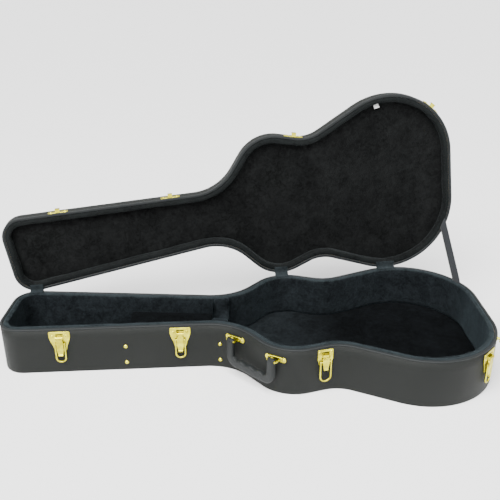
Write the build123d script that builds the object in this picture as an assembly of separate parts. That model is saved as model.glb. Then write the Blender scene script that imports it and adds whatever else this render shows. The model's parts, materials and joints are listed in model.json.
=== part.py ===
from build123d import *
import math
import os

# Hard guitar case, lying on its base shell with the lid open on its stay strap.
# Millimetres. +X runs from the neck end to the tail, the handle side faces -Y,
# the hinges are on the +Y side, and the origin is under the middle of the base.

# ---- driving dimensions ----
case_length = 1050.0        # neck end to tail
seam = 106.5                # height of the plane where base and lid meet
lid_height = 26.0           # seam to the top of the closed lid
open_angle = 90.3           # how far the lid stands open
seam_gap = 0.3              # each half stops this far short of the seam

covering = 1.0              # vinyl skin
ply = 5.0                   # moulded plywood side wall
lining = 11.5               # plush padding inside the side wall
bead_height = 2.2           # binding along the rim
base_panel = 4.0            # plywood bottom
lid_panel = 3.0             # plywood top
floor_lining = 8.0          # plush padding on the bottom
lid_lining = 5.0            # plush padding under the top
lining_drop = 0.5           # linings stop this far below the bead

# Plan outline: rounds from the neck end to the tail, each as distance of its
# centre from the neck end, half width at its crest or hollow, and radius.
# side is +1 where the round bulges and -1 where it is hollow.
rounds = {
    "head": (47.2, 90.0, 47.2, 1),
    "shoulder": (445.0, 66.3, 109.2, -1),
    "upper_bout": (623.2, 170.5, 87.2, 1),
    "waist": (708.5, 151.0, 74.7, -1),
    "lower_bout": (893.5, 213.8, 156.5, 1),
}

# Stations of the hardware, as distances from the neck end.
latch_stations = (133.0, 384.0, 682.0, 1006.1)
bracket_stations = (502.0, 582.6)
hinge_gap = 0.0             # hinge pin to the hinge side's tangent plane
bracket_height = seam - 24.5
partition_x = 268.0
cradle_x = 468.0
cradle_length = 35.0
stud_angle = 22.0           # end stud, degrees round the lower bout from the tail
stay_angle = 26.5           # stay strap, the same on the hinge side

# Latch, measured from the seam down.
plate_thickness = 1.2
plate_top = 6.8
lever_pivot = 20.0
bail_pivot = 34.0
pivot_out = 4.8             # both latch pivots to the wall
lever_end = 62.0
lock_end = 52.0             # the lock's lever is shorter
bail_wire = 1.9             # wire radius
bail_size = (43.0, 9.8)     # reach from the pivot and half width
lock_bail_size = (44.6, 11.2)
pin_radius = 1.2
running_gap = 0.05
seat_clearance = 0.02       # hardware to the vinyl it sits on

# Handle
handle_drop = 47.5
grip_width = 18.0
grip_thickness = 12.0
bar_radius = 1.8
eye_radius = 3.0
grip_round = 17.0           # bend of the grip's middle line at its lower corners

middle = case_length / 2
floor_top = covering + base_panel + floor_lining
inner_inset = covering + ply + lining
pocket_top = 62.0           # top of the partition, which carries the pocket's lid
pocket_lid = 6.0
UP = Vector(0, 0, 1)

os.makedirs("parts", exist_ok=True)
nodes = {}


def circles(inset):
    """The rounds of the outline pulled in by inset: centre, radius, side."""
    return [
        (Vector(x - middle, half - side * radius, 0), radius - side * inset, side)
        for x, half, radius, side in rounds.values()
    ]


def touch_points(one, two):
    """Where the straight between two neighbouring rounds touches them."""
    (c1, r1, s1), (c2, r2, s2) = one, two
    run = c2 - c1
    lean = (s1 * r1 - s2 * r2) / run.length
    along = run.normalized()
    across = Vector(-along.Y, along.X, 0)
    normal = along * lean + across * math.sqrt(1 - lean**2)
    return c1 + normal * (s1 * r1), c2 + normal * (s2 * r2)


def half_outline(inset):
    """Edges of the +Y half, neck end to tail: arc, straight, arc and so on."""
    chain = circles(inset)
    starts = [Vector(inset - middle, chain[0][0].Y, 0)]
    ends = []
    for one, two in zip(chain, chain[1:]):
        leave, arrive = touch_points(one, two)
        ends.append(leave)
        starts.append(arrive)
    ends.append(Vector(middle - inset, chain[-1][0].Y, 0))
    edges = []
    for i, (centre, radius, side) in enumerate(chain):
        bisector = (starts[i] - centre) + (ends[i] - centre)
        top = centre + bisector.normalized() * radius
        edges.append(ThreePointArc(starts[i], top, ends[i]))
        if i + 1 < len(chain):
            edges.append(Line(ends[i], starts[i + 1]))
    return edges


def slab(inset, low, high):
    """The whole plan shape, pulled in by inset, between two heights."""
    half = half_outline(inset)
    ends = [
        Line(edge @ at, mirror(edge, about=Plane.XZ) @ at)
        for edge, at in ((half[0], 0), (half[-1], 1))
    ]
    edges = half + [mirror(edge, about=Plane.XZ) for edge in half] + ends
    face = make_face(edges)
    return Pos(0, 0, low) * extrude(face, amount=high - low, dir=(0, 0, 1))


def ring(outer, inner, low, high):
    return slab(outer, low, high) - slab(inner, low - 1, high + 1)


def half_width(x, inset=0.0):
    """Half width of the plan at x from the neck end."""
    at = x - middle
    chain = circles(inset)
    for i, (centre, radius, side) in enumerate(chain):
        low = -math.inf if i == 0 else touch_points(chain[i - 1], chain[i])[1].X
        high = math.inf if i + 1 == len(chain) else touch_points(*chain[i:i + 2])[0].X
        if at < low:
            one, two = touch_points(chain[i - 1], chain[i])
            return one.Y + (two.Y - one.Y) * (at - one.X) / (two.X - one.X)
        if at <= high:
            return centre.Y + side * math.sqrt(radius**2 - (at - centre.X) ** 2)


def seat(x, reach):
    """Plane for hardware on the -Y wall: origin on the seam, x along the wall,
    y up, z outward, resting on the wall over reach to each side."""
    slope = half_width(x + 1) - half_width(x - 1)
    step = reach * math.cos(math.atan(slope / 2))
    at = [x + step * (k / 30 - 1) for k in range(61)]
    wall = [Vector(a - middle, -half_width(a), 0) for a in at]
    along = (wall[-1] - wall[0]).normalized()
    outward = along.cross(UP)
    bulge = max((p - wall[0]).dot(outward) for p in wall)
    centred = wall[0] + along * (wall[30] - wall[0]).dot(along)
    origin = centred + outward * (bulge + seat_clearance)
    return Plane(origin=origin + UP * seam, x_dir=along, z_dir=outward)


def wall_plane(angle, hinge_side):
    """As seat, but touching the lower bout at an angle from the tail."""
    centre = circles(0)[-1][0]
    turn = math.radians(angle)
    sign = 1 if hinge_side else -1
    outward = Vector(math.cos(turn), sign * math.sin(turn), 0)
    centre = Vector(centre.X, sign * centre.Y, 0)
    origin = centre + outward * circles(0)[-1][1] + UP * seam
    return Plane(origin=origin, x_dir=UP.cross(outward), z_dir=outward)


def box(x0, x1, y0, y1, z0, z1):
    return Pos((x0 + x1) / 2, (y0 + y1) / 2, (z0 + z1) / 2) * Box(x1 - x0, y1 - y0, z1 - z0)


def rod_x(radius, x0, x1, y, z):
    return Pos((x0 + x1) / 2, y, z) * Rot(0, 90, 0) * Cylinder(radius, x1 - x0)


def rod_z(radius, x, y, z0, z1):
    return Pos(x, y, (z0 + z1) / 2) * Cylinder(radius, z1 - z0)


def dome(radius, x, y, z, height):
    """Rivet or nail head: a ball cap of the given height on the plane z."""
    ball = (radius**2 + height**2) / (2 * height)
    cap = Pos(x, y, z + height - ball) * Sphere(ball)
    return cap & box(x - radius - 1, x + radius + 1, y - radius - 1, y + radius + 1, z, z + height + 1)


# ---- hinge line: touches the head corner and the lower bout on the +Y side ----
head, lower_bout = circles(0)[0], circles(0)[-1]
apart = lower_bout[0] - head[0]
hinge_turn = math.atan2(apart.Y, apart.X) + math.asin((lower_bout[1] - head[1]) / apart.length)
hinge_dir = Vector(math.cos(hinge_turn), math.sin(hinge_turn), 0)
hinge_out = Vector(-math.sin(hinge_turn), math.cos(hinge_turn), 0)
hinge_reach = lower_bout[0].dot(hinge_out) + lower_bout[1] + hinge_gap
hinge_point = hinge_out * hinge_reach + UP * seam
hinge_axis = Axis(hinge_point, hinge_dir)


def opened(shape):
    """Swing a closed lid piece to its open place."""
    return shape.rotate(hinge_axis, -open_angle)


# ---- base shell ----
bead_low = seam - seam_gap - bead_height
base_solid = slab(0, 0, seam)
nodes["base_bottom_covering"] = slab(0, 0, covering)
nodes["base_bottom_panel"] = slab(covering, covering, covering + base_panel)
nodes["base_side_covering"] = ring(0, covering, covering, bead_low)
nodes["base_side_wall"] = ring(covering, covering + ply, covering + base_panel, bead_low)
nodes["base_edge_bead"] = ring(0, covering + ply, bead_low, seam - seam_gap)
nodes["base_floor_lining"] = slab(covering + ply, covering + base_panel, floor_top)
nodes["base_wall_lining"] = ring(covering + ply, inner_inset, floor_top, seam - seam_gap - lining_drop)

# ---- neck compartment ----
neck_room = slab(inner_inset, floor_top, seam)
partition_thickness = 10.0
cradle_dip = 72.0           # height of the saddle's bottom
cradle_horn = 12.0          # width of each horn beside the saddle
cradle_round = 14.0
cradle_top = seam - 0.5
cradle_low_x = cradle_x - cradle_length / 2
wide = 2 * half_width(cradle_low_x)


def across(x0, x1, low, high):
    """A cross wall of the neck channel, trimmed to the linings."""
    return neck_room & box(x0 - middle, x1 - middle, -wide, wide, low, high)


nodes["compartment_partition"] = across(
    partition_x - partition_thickness / 2, partition_x + partition_thickness / 2, floor_top, pocket_top
)
cradle = across(cradle_low_x, cradle_low_x + cradle_length, floor_top, cradle_top)
dip_half = half_width(cradle_low_x, inner_inset) - cradle_horn
dip = box(-cradle_length, cradle_length, -dip_half, dip_half, cradle_dip, seam + cradle_dip)
dip = fillet(dip.edges().filter_by(Axis.X).group_by(Axis.Z)[0], cradle_round)
cradle -= Pos(cradle_x - middle, 0, 0) * dip
nodes["neck_cradle"] = cradle

ledge_depth = 10.0
ledge_thickness = 8.0
ledge_low = pocket_top - ledge_thickness
nodes["compartment_ledge"] = across(cradle_low_x - ledge_depth, cradle_low_x, ledge_low, pocket_top)

pocket_gap = 1.5
pocket_swing_gap = 2.5      # the lid's end swings towards the cradle as it opens
pocket_start = partition_x - partition_thickness / 2
pocket_end = cradle_low_x - pocket_swing_gap
pocket_front = [
    Vector(x - middle, half_width(x, inner_inset) - pocket_gap, 0) for x in (pocket_start, pocket_end)
]
pocket_dir = (pocket_front[1] - pocket_front[0]).normalized()
pocket_pivot = pocket_front[0] + UP * (pocket_top + pocket_lid)
corners = [
    (pocket_front[0].X, -pocket_front[0].Y),
    (pocket_front[1].X, -pocket_front[1].Y),
    (pocket_front[1].X, pocket_front[1].Y),
    (pocket_front[0].X, pocket_front[0].Y),
]
pocket_face = make_face(Polyline(*corners, close=True))
pocket_rest = 0.2           # the closed lid rests this far above its ledge
nodes["compartment_lid"] = Pos(0, 0, pocket_top + pocket_rest) * extrude(
    pocket_face, amount=pocket_lid - pocket_rest, dir=(0, 0, 1)
)
tab_width, tab_thickness, tab_height = 22.0, 2.0, 14.0
tab_x = (pocket_start + pocket_end) / 2 - middle
tab_y = -half_width(tab_x + middle, inner_inset) + 10
tab_low = pocket_top + pocket_lid
nodes["compartment_pull_tab"] = box(
    tab_x - tab_width / 2, tab_x + tab_width / 2, tab_y, tab_y + tab_thickness, tab_low, tab_low + tab_height
)

# ---- lid shell, built closed ----
lid_top = seam + lid_height
lid_bead_high = seam + seam_gap + bead_height
panel_low = lid_top - covering - lid_panel
lid_nodes = {
    "lid_edge_bead": ring(0, covering + ply, seam + seam_gap, lid_bead_high),
    "lid_side_wall": ring(covering, covering + ply, lid_bead_high, panel_low),
    "lid_side_covering": ring(0, covering, lid_bead_high, lid_top - covering),
    "lid_top_panel": slab(covering, panel_low, lid_top - covering),
    "lid_top_covering": slab(0, lid_top - covering, lid_top),
    "lid_panel_lining": slab(covering + ply, panel_low - lid_lining, panel_low),
    "lid_wall_lining": ring(
        covering + ply, inner_inset, seam + seam_gap + lining_drop, panel_low - lid_lining
    ),
}
tag_x = 880.0
tag_half, tag_length, tag_thickness = 6.0, 8.8, 1.0
tag_y = 1.2 - half_width(tag_x, inner_inset)
tag_top = panel_low - lid_lining
lid_nodes["care_tag"] = box(
    tag_x - middle - tag_half, tag_x - middle + tag_half, tag_y, tag_y + tag_length,
    tag_top - tag_thickness, tag_top
)

# ---- rivets collect here, already in place ----
base_rivets = []
lid_rivets = []
head_radius = 2.6
head_height = 1.5
shank_radius = 1.6
stamped_edge = 0.7          # rounding left by the stamping die


def rivet(x, y, z):
    """Domed head standing on z, with its shank through the plate below."""
    return dome(head_radius, x, y, z, head_height) + rod_z(shank_radius, x, y, z - plate_thickness, z)


def plate(points, radius, holes):
    """Sheet brass from its corner points, with rivet holes."""
    face = fillet(make_face(Polyline(*points, close=True)).vertices(), radius)
    sheet = extrude(face, amount=plate_thickness, dir=(0, 0, 1))
    sheet = fillet(sheet.faces().sort_by(Axis.Z)[-1].edges(), stamped_edge)
    for x, y in holes:
        sheet -= rod_z(shank_radius, x, y, -1, plate_thickness + 1)
    return sheet


# ---- latches ----
plate_half = 22.0
plate_round = 2.5
lock_number = 3             # this latch has a key lock, on a narrower plate
lock_half = 16.5
key_drop = 27.0
key_radius = 4.6
key_out = 3.6               # the key cylinder stands this far out of the tongue
key_slot_half = (0.6, 2.5, 1.2)     # half width, half length and depth
slot_half = 8.0             # slot in the plate above the lever
slot_drop = (5.5, 8.5)
ear_height = 4.0            # the ears' half height and end radius
tongue_half = (5.4, 7.3, 4.6)      # at the pin, at the bail and at the tip
tongue_thickness = 4.0
knuckle = 3.0               # the lever's own roll round its pin
lip_radius = 2.6            # rolled lip at the lever's tip


strike_low, strike_high = 3.5, 15.0
strike_rivet = (15.4, 9.2)
hook_half = 5.0
bail_foot = 4.5             # where the bail's turned-in ends stop, inside the lever


def mirrored(points):
    """Adds the other side's points to the right-hand side of a symmetric outline."""
    return points + [(-x, y) for x, y in reversed(points)]


plate_points = mirrored([(plate_half, -plate_top), (plate_half, -plate_top - 13),
                         (plate_half - 2.5, -plate_top - 23), (14.8, -plate_top - 34),
                         (12.5, -plate_top - 45)])
lock_points = mirrored([(lock_half, -plate_top), (lock_half, -plate_top - 23),
                        (12.5, -plate_top - 36)])
plate_rivets = [(-14.4, -plate_top - 10), (14.4, -plate_top - 10)]
lock_rivets = [(-12.6, -plate_top - 6), (12.6, -plate_top - 6)]
ear_in = tongue_half[0] + 0.3
ear_out = ear_in + 1.8
wide_cut = plate_half       # longer than any pin, so that a bore goes right through


def bore_x(y, z):
    """What is cut away for a pin across the whole latch or hinge."""
    return rod_x(pin_radius + running_gap, -wide_cut, wide_cut, y, z)


def latch_plate(points, rivets):
    """Plate with its slot and the two ears that carry the lever's pin."""
    sheet = plate(points, plate_round, rivets)
    slot_low, slot_high = -plate_top - slot_drop[1], -plate_top - slot_drop[0]
    sheet -= box(-slot_half, slot_half, slot_low, slot_high, -plate_thickness, 2 * plate_thickness)
    for side in (-1, 1):
        near, far = sorted((side * ear_in, side * ear_out))
        ear = box(near, far, -lever_pivot - ear_height, -lever_pivot + ear_height, 0, pivot_out)
        sheet += ear + rod_x(ear_height, near, far, -lever_pivot, pivot_out)
    return sheet - bore_x(-lever_pivot, pivot_out)


def latch_lever(tip, lock):
    """Tongue hanging from the lever pin, with a hole for the bail's ends and
    perhaps a key lock."""
    top_half, body_half, tip_half = tongue_half
    waist = -lever_pivot - 5.5
    outline = make_face(Polyline(*mirrored([
        (top_half, -lever_pivot), (top_half, waist), (body_half, waist - 2), (body_half, tip + 14),
        (tip_half, tip)]), close=True))
    tongue = extrude(outline, amount=tongue_thickness, dir=(0, 0, 1))
    tongue = fillet(tongue.faces().sort_by(Axis.Z)[-1].edges(), stamped_edge)
    tongue = Pos(0, 0, pivot_out - tongue_thickness / 2) * tongue
    if lock:
        across_slot, along_slot, slot_depth = key_slot_half
        tongue += rod_z(key_radius, 0, -key_drop, pivot_out, pivot_out + key_out)
        tongue -= box(-across_slot, across_slot, -key_drop - along_slot, -key_drop + along_slot,
                      pivot_out + key_out - slot_depth, pivot_out + key_out + slot_depth)
    tongue += rod_x(knuckle, -top_half, top_half, -lever_pivot, pivot_out)
    tongue += rod_x(lip_radius, -tip_half, tip_half, tip + 1, pivot_out + 0.6)
    return tongue - bore_x(-lever_pivot, pivot_out) - bore_x(-bail_pivot, pivot_out)


def latch_bail(reach, half):
    """Wire loop hanging from the lever, its ends turned in to the pivot."""
    bend = -bail_pivot - reach + half
    loop = Pos(0, bend, pivot_out) * Torus(half, bail_wire)
    wire = loop & box(-plate_half, plate_half, bend - plate_half, bend, 0, 2 * pivot_out)
    for side in (-1, 1):
        x = side * half
        wire += Pos(x, (bend - bail_pivot) / 2, pivot_out) * Rot(90, 0, 0) * Cylinder(
            bail_wire, -bail_pivot - bend
        )
        wire += Pos(x, -bail_pivot, pivot_out) * Sphere(bail_wire)
        near, far = sorted((side * bail_foot, x))
        wire += rod_x(pin_radius, near, far, -bail_pivot, pivot_out)
    return wire


def latch_strike():
    """Lid plate with the hook that the bail pulls on."""
    points = mirrored([(plate_half, strike_low), (plate_half, strike_high)])
    sheet = plate(points, 3.0, [(-strike_rivet[0], strike_rivet[1]), strike_rivet])
    hook_low = pivot_out + bail_wire + 0.4
    sheet += box(-hook_half, hook_half, strike_low, strike_low + 2.5, 0, hook_low + 2)
    return sheet + box(-hook_half, hook_half, strike_low, strike_low + 7.5, hook_low, hook_low + 2)


latch_pins = []
for number, x in enumerate(latch_stations, start=1):
    place = seat(x, plate_half)
    lock = number == lock_number
    rivets = lock_rivets if lock else plate_rivets
    nodes[f"latch_plate_{number}"] = place * latch_plate(lock_points if lock else plate_points, rivets)
    nodes[f"latch_lever_{number}"] = place * latch_lever(-lock_end if lock else -lever_end, lock)
    nodes[f"latch_bail_{number}"] = place * latch_bail(*(lock_bail_size if lock else bail_size))
    latch_pins.append(place * rod_x(pin_radius, -ear_out, ear_out, -lever_pivot, pivot_out))
    base_rivets += [place * rivet(rx, ry, plate_thickness) for rx, ry in rivets]
    lid_nodes[f"latch_strike_{number}"] = place * latch_strike()
    for side in (-1, 1):
        lid_rivets.append(place * rivet(side * strike_rivet[0], strike_rivet[1], plate_thickness))
    turn = place.x_dir
    for name, drop in (("lever", lever_pivot), ("bail", bail_pivot)):
        at = place.origin + place.z_dir * pivot_out - UP * drop
        print(f"latch {name} {number} at {at.X:.3f} {at.Y:.3f} {at.Z:.3f} axis {turn.X:.6f} {turn.Y:.6f}")

# ---- carrying handle on the shoulder ----
bracket_half = 23.0
bracket_rise = 6.0          # half the bracket's height
bracket_rivet = 17.0
bracket_lip = 3.2           # the top edge is folded out this far
grip_ends = [seat(x, plate_half) for x in bracket_stations]
grip_run = grip_ends[1].origin - grip_ends[0].origin
grip_dir = grip_run.normalized()
grip_out = grip_dir.cross(UP)
bulge_steps = [bracket_stations[0] - bracket_half + 6 * k for k in range(21)]
bulge = max(
    (Vector(x - middle, -half_width(x), seam) - grip_ends[0].origin).dot(grip_out) for x in bulge_steps
)
bar_out = bulge + 2.0 + grip_thickness / 2
bar_half = grip_width / 2 + 0.5
post_half = 2.0
eye_play = 0.4
bracket_outline = mirrored([(bracket_half, -bracket_rise), (bracket_half, bracket_rise)])
for number, end in enumerate(grip_ends, start=1):
    foot = end.origin - UP * (seam - bracket_height)
    lower = Plane(origin=foot, x_dir=end.x_dir, z_dir=end.z_dir)
    sheet = plate(bracket_outline, 5.0, [(-bracket_rivet, 0), (bracket_rivet, 0)])
    sheet += box(-bracket_rivet, bracket_rivet, bracket_rise - 1.8, bracket_rise, 0, bracket_lip)
    along = (foot - grip_ends[0].origin).dot(grip_dir)
    bar_at = grip_ends[0].origin + grip_dir * along + grip_out * bar_out
    bar = Plane(origin=Vector(bar_at.X, bar_at.Y, bracket_height), x_dir=grip_dir, z_dir=grip_out)
    staple = rod_x(bar_radius, -bar_half - post_half, bar_half + post_half, 0, 0)
    for side in (-1, 1):
        near, far = sorted((side * bar_half, side * (bar_half + post_half)))
        staple += box(near, far, -bar_radius, bar_radius, -2 * bar_out, 0)
    nodes[f"handle_bracket_{number}"] = (lower * sheet + bar * staple) - base_solid
    base_rivets += [lower * rivet(side * bracket_rivet, 0, plate_thickness) for side in (-1, 1)]
    eye = rod_x(eye_radius, eye_play - bar_half, bar_half - eye_play, 0, 0)
    bore = rod_x(bar_radius + running_gap, -2 * bar_half, 2 * bar_half, 0, 0)
    nodes[f"handle_eye_{number}"] = bar * (eye - bore)
    if number == 1:
        grip_plane = bar
grip_span = (grip_ends[1].origin - grip_ends[0].origin).dot(grip_dir)
half_grip = grip_width / 2
outer = box(-half_grip, grip_span + half_grip, -handle_drop - half_grip, 0, -grip_thickness / 2,
            grip_thickness / 2)
inner = box(half_grip, grip_span - half_grip, -handle_drop + half_grip, grip_width, -grip_width, grip_width)
outer = fillet(outer.edges().filter_by(Axis.Z).group_by(Axis.Y)[0], grip_round + half_grip)
inner = fillet(inner.edges().filter_by(Axis.Z).group_by(Axis.Y)[0], grip_round - half_grip)
grip = outer - inner
for x in (0, grip_span):
    grip += rod_x(grip_thickness / 2, x - half_grip, x + half_grip, 0, 0)
for x in (0, grip_span):
    grip -= rod_x(eye_radius, x - half_grip - 1, x + half_grip + 1, 0, 0)
nodes["handle_grip"] = grip_plane * grip
bar_point = grip_plane.origin
print(f"grip span {grip_span:.3f}")
print(f"handle at {bar_point.X:.3f} {bar_point.Y:.3f} {bar_point.Z:.3f} "
      f"axis {grip_dir.X:.6f} {grip_dir.Y:.6f}")

# ---- hinges ----
leaf_half = 14.0
knuckle_radius = 2.6
knuckle_split = 5.0
knuckle_play = 0.3
leaf_low, leaf_high = 6.0, 24.0
leaf_rivet = (9.0, 15.0)
knuckle_room = 0.25         # between a knuckle and the rims it is let into


def leaf(gap, spans, side):
    """Half a hinge: plate on the wall at -gap, web out to its knuckles.
    side is -1 for the base leaf and +1 for the lid leaf."""
    points = [(-leaf_half, side * leaf_low), (leaf_half, side * leaf_low),
              (leaf_half, side * leaf_high), (-leaf_half, side * leaf_high)]
    holes = [(x, side * leaf_rivet[1]) for x in (-leaf_rivet[0], leaf_rivet[0])]
    sheet = Pos(0, 0, -gap) * plate(points, 2.0, holes)
    for low, high in spans:
        y0, y1 = sorted((side * pin_radius, side * (leaf_low + 1)))
        sheet += box(low, high, y0, y1, -gap, max(hinge_gap, plate_thickness - gap))
        sheet += rod_x(knuckle_radius, low, high, 0, hinge_gap)
    return sheet - bore_x(0, hinge_gap)


hinge_pins = []
recesses = []
for number, round_name in enumerate(("head", "upper_bout", "lower_bout"), start=1):
    centre, radius, side = circles(0)[list(rounds).index(round_name)]
    gap = hinge_reach - hinge_gap - centre.dot(hinge_out) - radius
    foot = hinge_dir * centre.dot(hinge_dir) + hinge_out * (hinge_reach - hinge_gap)
    place = Plane(origin=foot + UP * seam, x_dir=-hinge_dir, z_dir=hinge_out)
    base_spans = [(-leaf_half, -knuckle_split), (knuckle_split, leaf_half)]
    lid_spans = [(-knuckle_split + knuckle_play, knuckle_split - knuckle_play)]
    nodes[f"hinge_base_leaf_{number}"] = place * leaf(gap, base_spans, -1) - base_solid
    lid_nodes[f"hinge_lid_leaf_{number}"] = place * leaf(gap, lid_spans, 1) - slab(0, seam, lid_top)
    hinge_pins.append(place * rod_x(pin_radius, -leaf_half, leaf_half, 0, hinge_gap))
    reach = leaf_half + knuckle_room
    recesses.append(place * rod_x(knuckle_radius + knuckle_room, -reach, reach, 0, hinge_gap))
    head_z = plate_thickness - gap
    for x in (-leaf_rivet[0], leaf_rivet[0]):
        base_rivets.append(place * rivet(x, -leaf_rivet[1], head_z))
        lid_rivets.append(place * rivet(x, leaf_rivet[1], head_z))

recess = Compound(recesses)
for name in ("edge_bead", "side_covering", "side_wall"):
    nodes[f"base_{name}"] -= recess
    lid_nodes[f"lid_{name}"] -= recess

# ---- nails that hold the partition and the cradle, and the end stud ----
nail_radius = 4.3
nail_height = 2.4
nail_levels = (18.5, 57.5)  # above the ground
for x in (partition_x, cradle_x):
    place = seat(x, nail_radius)
    base_rivets += [place * dome(nail_radius, 0, z - seam, 0, nail_height) for z in nail_levels]

stud_drop = 8.0             # seam to the stud's centre
stud_steps = [(5.0, 0, 1.2), (2.6, 1.2, 5.2), (7.5, 5.2, 8.0)]     # radius, from, to
foot, neck, crown = [rod_z(radius, 0, -stud_drop, low, high) for radius, low, high in stud_steps]
stud = foot + neck + crown
nodes["end_stud"] = wall_plane(stud_angle, False) * stud - base_solid

# ---- stay strap, from inside the base rim to inside the lid rim ----
stay_inset = 9.0
stay_width = 20.5
stay_thickness = 1.6
stay_end = 0.5
rim = wall_plane(stay_angle, True)


def stay_section(height):
    """The strap's cross-section just off a rim, in the closed case's place."""
    at = rim.origin - rim.z_dir * stay_inset + UP * height
    across = Plane(origin=at, x_dir=rim.x_dir, z_dir=UP)
    return across * Rectangle(stay_width, stay_thickness)


foot_face = stay_section(-seam_gap)
crown_face = stay_section(seam_gap + stay_end).rotate(hinge_axis, -open_angle)
nodes["stay_strap"] = loft([foot_face.faces()[0], crown_face.faces()[0]], ruled=True)

# ---- write every node ----
nodes.update({name: opened(shape) for name, shape in lid_nodes.items()})
nodes["latch_pins"] = Compound(latch_pins)
nodes["hinge_pins"] = Compound(hinge_pins)
nodes["base_rivets"] = Compound(base_rivets)
nodes["lid_rivets"] = opened(Compound(lid_rivets))
for name, shape in nodes.items():
    export_step(shape, f"parts/{name}.step")
print(f"lid hinge at {hinge_point.X:.3f} {hinge_point.Y:.3f} {hinge_point.Z:.3f} "
      f"axis {hinge_dir.X:.6f} {hinge_dir.Y:.6f}")
print(f"pocket hinge at {pocket_pivot.X:.3f} {pocket_pivot.Y:.3f} {pocket_pivot.Z:.3f} "
      f"axis {pocket_dir.X:.6f} {pocket_dir.Y:.6f}")
print(len(nodes), "nodes")
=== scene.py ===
import json
import math

import bmesh
import bpy
import numpy as np
from mathutils import Matrix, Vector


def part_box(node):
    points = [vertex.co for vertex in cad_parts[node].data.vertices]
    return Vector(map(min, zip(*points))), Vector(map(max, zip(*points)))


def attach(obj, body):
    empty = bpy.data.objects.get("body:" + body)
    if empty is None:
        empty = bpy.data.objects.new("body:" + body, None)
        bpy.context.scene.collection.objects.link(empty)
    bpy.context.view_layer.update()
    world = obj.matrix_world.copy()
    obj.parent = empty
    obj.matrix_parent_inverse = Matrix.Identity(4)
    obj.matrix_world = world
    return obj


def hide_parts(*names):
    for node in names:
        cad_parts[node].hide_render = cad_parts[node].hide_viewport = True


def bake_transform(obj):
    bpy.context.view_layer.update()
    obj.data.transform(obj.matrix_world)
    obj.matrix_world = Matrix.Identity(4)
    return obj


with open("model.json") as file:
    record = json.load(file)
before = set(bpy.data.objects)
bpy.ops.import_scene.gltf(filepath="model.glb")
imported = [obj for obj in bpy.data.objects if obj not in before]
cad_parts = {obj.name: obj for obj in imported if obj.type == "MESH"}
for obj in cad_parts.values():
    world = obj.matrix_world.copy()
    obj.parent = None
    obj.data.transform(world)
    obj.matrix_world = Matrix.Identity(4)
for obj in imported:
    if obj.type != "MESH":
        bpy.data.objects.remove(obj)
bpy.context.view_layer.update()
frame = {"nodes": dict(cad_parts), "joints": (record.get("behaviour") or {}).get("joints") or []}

# ---- Plywood shells --------------------------------------------------------
# Two bands of ply bent to the guitar's outline, with a flat board glued across
# each. Vinyl hides them outside and plush inside, so they keep the CAD's shape.


def node(tree, kind, **settings):
    """Adds a shader node and sets its properties and unlinked inputs by name."""
    made = tree.nodes.new(kind)
    for name, value in settings.items():
        if name in made.inputs:
            made.inputs[name].default_value = value
        else:
            setattr(made, name, value)
    return made


def material(name, **settings):
    """A new Principled material. settings are constants on the shader's own sockets."""
    made = bpy.data.materials.new(name)
    made.use_nodes = True
    shader = made.node_tree.nodes["Principled BSDF"]
    for word, value in settings.items():
        shader.inputs[word.replace("_", " ")].default_value = value
    return made, made.node_tree, shader


def tint(tree, shader, mask, low, high):
    """Feeds Base Color a blend from low to high as the mask goes from 0 to 1."""
    ramp = node(tree, "ShaderNodeMix", data_type="RGBA")
    ramp.inputs["A"].default_value = (*low, 1)
    ramp.inputs["B"].default_value = (*high, 1)
    tree.links.new(mask, ramp.inputs["Factor"])
    tree.links.new(ramp.outputs["Result"], shader.inputs["Base Color"])
    return ramp


def relief(tree, shader, height, depth, strength=1.0):
    """Bumps the surface by height, an output from 0 to 1, times depth in metres."""
    bump = node(tree, "ShaderNodeBump", Distance=depth, Strength=strength)
    tree.links.new(height, bump.inputs["Height"])
    tree.links.new(bump.outputs["Normal"], shader.inputs["Normal"])


ply, tree, shader = material("birch ply", Roughness=0.62)
place = node(tree, "ShaderNodeTexCoord")
stretch = node(tree, "ShaderNodeMapping", Scale=(6, 40, 700))
figure = node(tree, "ShaderNodeTexNoise", Scale=1.0, Detail=4.0)
tree.links.new(place.outputs["Object"], stretch.inputs["Vector"])
tree.links.new(stretch.outputs["Vector"], figure.inputs["Vector"])
tint(tree, shader, figure.outputs["Fac"], (0.33, 0.21, 0.11), (0.62, 0.47, 0.29))
relief(tree, shader, figure.outputs["Fac"], 0.0002)


def dress(name, finish):
    """Gives a CAD node its finish."""
    for held in frame["nodes"][name].material_slots:
        held.material = finish


for name in ("base_side_wall", "base_bottom_panel", "lid_side_wall", "lid_top_panel"):
    dress(name, ply)

# ---- Vinyl covering --------------------------------------------------------
# Black leathercloth, glued round the outside of both shells and turned over
# their edges. Its grain is fine round pebbles.
# Lengths here and below are millimetres until a mesh is made.

MM = 0.001
SEAM = 106.5
LID_HEIGHT = 26.0
CASE_HALF = 525.0
TURNOVER = 2.8
SKIN = 0.9
CORNER_ROUND = 2.6
CORNER_CLEAR = 8.0          # the wall's last row stops this far above the corner
ROUNDS = np.array(
    # centre from the middle, half width at the crest or hollow, radius, side
    [
        (47.2 - CASE_HALF, 90.0, 47.2, 1),
        (445.0 - CASE_HALF, 66.3, 109.2, -1),
        (623.2 - CASE_HALF, 170.5, 87.2, 1),
        (708.5 - CASE_HALF, 151.0, 74.7, -1),
        (893.5 - CASE_HALF, 213.8, 156.5, 1),
    ]
)


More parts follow.
